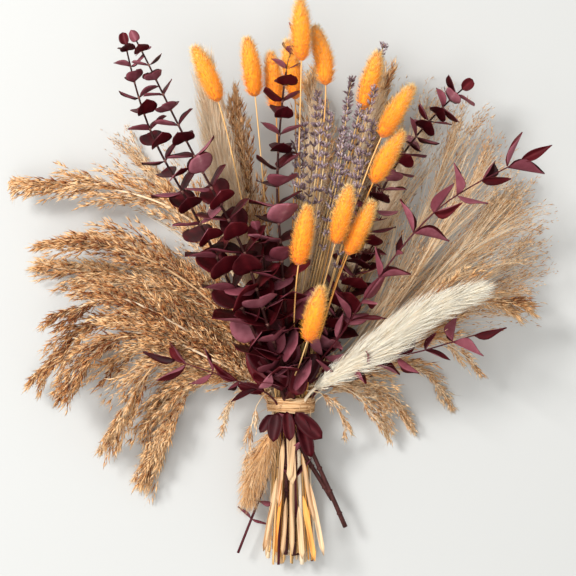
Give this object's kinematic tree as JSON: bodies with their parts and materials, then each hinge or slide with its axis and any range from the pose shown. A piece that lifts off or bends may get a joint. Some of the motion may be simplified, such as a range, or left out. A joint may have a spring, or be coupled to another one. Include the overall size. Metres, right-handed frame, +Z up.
{
  "type": "dried flower bouquet",
  "caption": "Dried flower bouquet tied with raffia and lying on its back: fanned reed and grass plumes, burgundy leaves, lavender and orange bunny tails.",
  "frame": {"origin": "on the surface that the bouquet lies on, under the middle of its box", "axes": "+Y from the cut stem ends to the flower heads, +X across the fan to the right as seen from above with the heads away from the viewer, +Z up from the surface"},
  "size_m": [0.4866, 0.5042, 0.1534],
  "materials": {
    "reed": "matt dry grass, golden tan with brown spikelets",
    "pale_grass": "fine silky grass strands, pale straw",
    "pampas": "soft cream plume with a faint silk sheen",
    "bunny_tail": "dyed orange, hairy, paler at the tip",
    "lavender": "dusty grey-violet buds on straw stalks",
    "eucalyptus": "preserved leaves, dark burgundy with a dusty rose back, satin",
    "pointed_leaf_twig": "thin burgundy leaves on dark twigs, satin",
    "raffia": "dry twisted raffia fibre, straw yellow"
  },
  "bodies": {
    "root": {"bunny_tail_01": "bunny_tail", "bunny_tail_02": "bunny_tail", "bunny_tail_03": "bunny_tail", "bunny_tail_04": "bunny_tail", "bunny_tail_05": "bunny_tail", "bunny_tail_06": "bunny_tail", "bunny_tail_07": "bunny_tail", "bunny_tail_08": "bunny_tail", "bunny_tail_09": "bunny_tail", "bunny_tail_10": "bunny_tail", "bunny_tail_11": "bunny_tail", "bunny_tail_12": "bunny_tail", "bunny_tail_13": "bunny_tail", "eucalyptus_stem_left_inner": "eucalyptus", "eucalyptus_stem_left_outer": "eucalyptus", "eucalyptus_stem_middle": "eucalyptus", "eucalyptus_stem_right": "eucalyptus", "eucalyptus_stem_short": "eucalyptus", "grass_plume_drooping_right": "pale_grass", "grass_plume_hanging_inner": "pale_grass", "grass_plume_hanging_near": "pale_grass", "grass_plume_hanging_right": "pale_grass", "grass_plume_left_back": "pale_grass", "grass_plume_right_back": "pale_grass", "grass_plume_right_high": "pale_grass", "grass_plume_right_low": "pale_grass", "grass_plume_right_middle": "pale_grass", "grass_plume_right_side": "pale_grass", "grass_plume_right_upper": "pale_grass", "grass_plume_top_right": "pale_grass", "lavender_stem_01": "lavender", "lavender_stem_02": "lavender", "lavender_stem_03": "lavender", "lavender_stem_04": "lavender", "lavender_stem_05": "lavender", "lavender_stem_06": "lavender", "lavender_stem_07": "lavender", "lavender_stem_08": "lavender", "lavender_stem_09": "lavender", "lavender_stem_10": "lavender", "lavender_stem_11": "lavender", "pampas_plume_front": "pampas", "pampas_plume_upper_left": "pampas", "raffia_tie": "raffia", "reed_plume_hanging_left": "reed", "reed_plume_left_front": "reed", "reed_plume_left_low": "reed", "reed_plume_left_middle": "reed", "reed_plume_left_outer": "reed", "reed_plume_left_top": "reed", "reed_plume_left_upper": "reed", "reed_plume_lower_left": "reed", "reed_plume_right_front": "reed", "reed_plume_top_inner_right": "reed", "reed_plume_top_left": "reed", "reed_plume_top_middle": "reed", "ruscus_twig_front": "pointed_leaf_twig", "ruscus_twig_lower_left": "pointed_leaf_twig", "ruscus_twig_lower_right": "pointed_leaf_twig", "ruscus_twig_right": "pointed_leaf_twig"}
  },
  "joints": []
}
